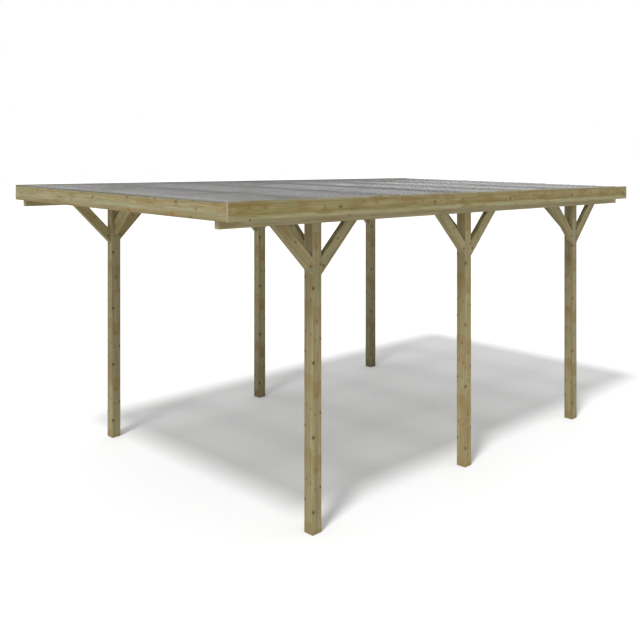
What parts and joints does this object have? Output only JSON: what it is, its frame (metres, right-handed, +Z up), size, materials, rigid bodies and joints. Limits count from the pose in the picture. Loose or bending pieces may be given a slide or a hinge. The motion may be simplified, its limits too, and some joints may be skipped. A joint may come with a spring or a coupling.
{
  "type": "carport",
  "caption": "Open timber carport with a flat roof of corrugated translucent sheets on square posts with diagonal braces and fascia boards.",
  "frame": {"origin": "on the ground, in the middle of the roof's outline", "axes": "+X across the width, +Y along the length from the drive-in end to the low end of the roof, +Z up"},
  "size_m": [3.16, 5.518, 2.476],
  "materials": {
    "post_timber": "pressure-treated softwood, planed",
    "beam_timber": "pressure-treated softwood, planed",
    "rafter_timber": "pressure-treated softwood, planed",
    "fascia_timber": "pressure-treated softwood, planed",
    "brace_timber": "pressure-treated softwood, planed",
    "roof_sheet": "smoke-grey translucent corrugated plastic"
  },
  "bodies": {
    "root": {"beam_left": "beam_timber", "beam_right": "beam_timber", "brace_front_left_back": "brace_timber", "brace_front_left_forward": "brace_timber", "brace_front_left_inward": "brace_timber", "brace_front_right_back": "brace_timber", "brace_front_right_forward": "brace_timber", "brace_front_right_inward": "brace_timber", "brace_middle_left_back": "brace_timber", "brace_middle_left_forward": "brace_timber", "brace_middle_left_inward": "brace_timber", "brace_middle_right_back": "brace_timber", "brace_middle_right_forward": "brace_timber", "brace_middle_right_inward": "brace_timber", "brace_rear_left_back": "brace_timber", "brace_rear_left_forward": "brace_timber", "brace_rear_left_inward": "brace_timber", "brace_rear_right_back": "brace_timber", "brace_rear_right_forward": "brace_timber", "brace_rear_right_inward": "brace_timber", "fascia_front": "fascia_timber", "fascia_left": "fascia_timber", "fascia_right": "fascia_timber", "post_front_left": "post_timber", "post_front_right": "post_timber", "post_middle_left": "post_timber", "post_middle_right": "post_timber", "post_rear_left": "post_timber", "post_rear_right": "post_timber", "rafter_fifth": "rafter_timber", "rafter_front": "rafter_timber", "rafter_middle": "rafter_timber", "rafter_rear": "rafter_timber", "rafter_second": "rafter_timber", "rafter_sixth": "rafter_timber", "rafter_third": "rafter_timber", "roof_sheet_left": "roof_sheet", "roof_sheet_middle": "roof_sheet", "roof_sheet_right": "roof_sheet"}
  },
  "joints": []
}
